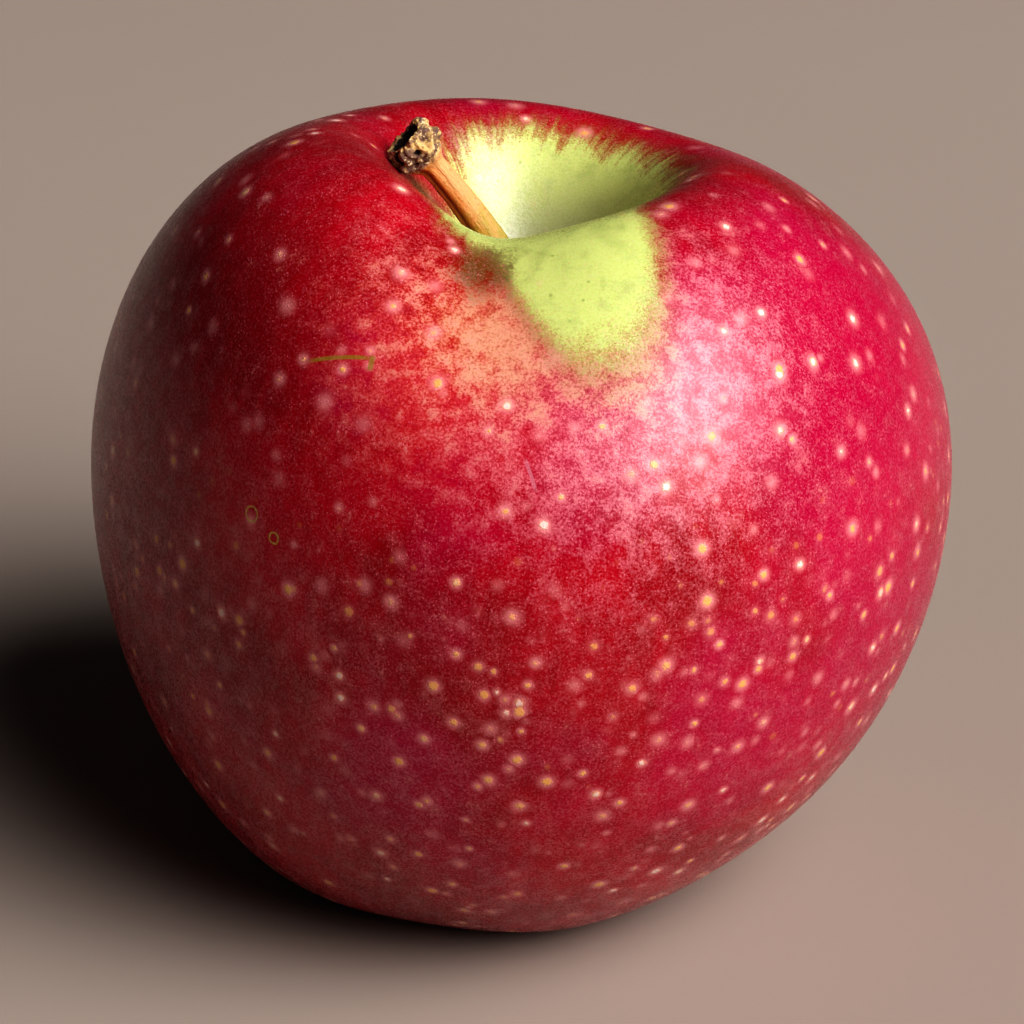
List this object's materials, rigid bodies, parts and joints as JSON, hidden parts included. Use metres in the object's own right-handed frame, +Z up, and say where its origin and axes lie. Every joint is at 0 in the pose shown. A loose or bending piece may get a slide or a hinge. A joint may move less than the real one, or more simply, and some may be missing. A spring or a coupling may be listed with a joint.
{
  "type": "apple",
  "caption": "Whole red apple with a deep green stem cavity, a short leaning woody stem and a dried calyx, resting on its lobed base.",
  "frame": {"origin": "middle of the footprint's bounding box, at the level that the apple rests on", "axes": "+Z up from the base to the stem, -Y towards the side where the lip of the stem cavity dips, +X away from the side that the stem leans to"},
  "size_m": [0.0758, 0.0752, 0.0699],
  "materials": {
    "skin": "waxy satin apple skin, crimson blush over yellow-green with pale lenticels",
    "stem_bark": "dull orange-brown bark, green at the base, with a pale corky broken end",
    "dried_leaf": "dull grey-brown dried sepal with fine hairs",
    "dried_stamen": "dull dark brown dried filaments"
  },
  "bodies": {
    "root": {"fruit": "skin", "stem": "stem_bark", "sepal_1": "dried_leaf", "sepal_2": "dried_leaf", "sepal_3": "dried_leaf", "sepal_4": "dried_leaf", "sepal_5": "dried_leaf", "stamens": "dried_stamen"}
  },
  "joints": []
}
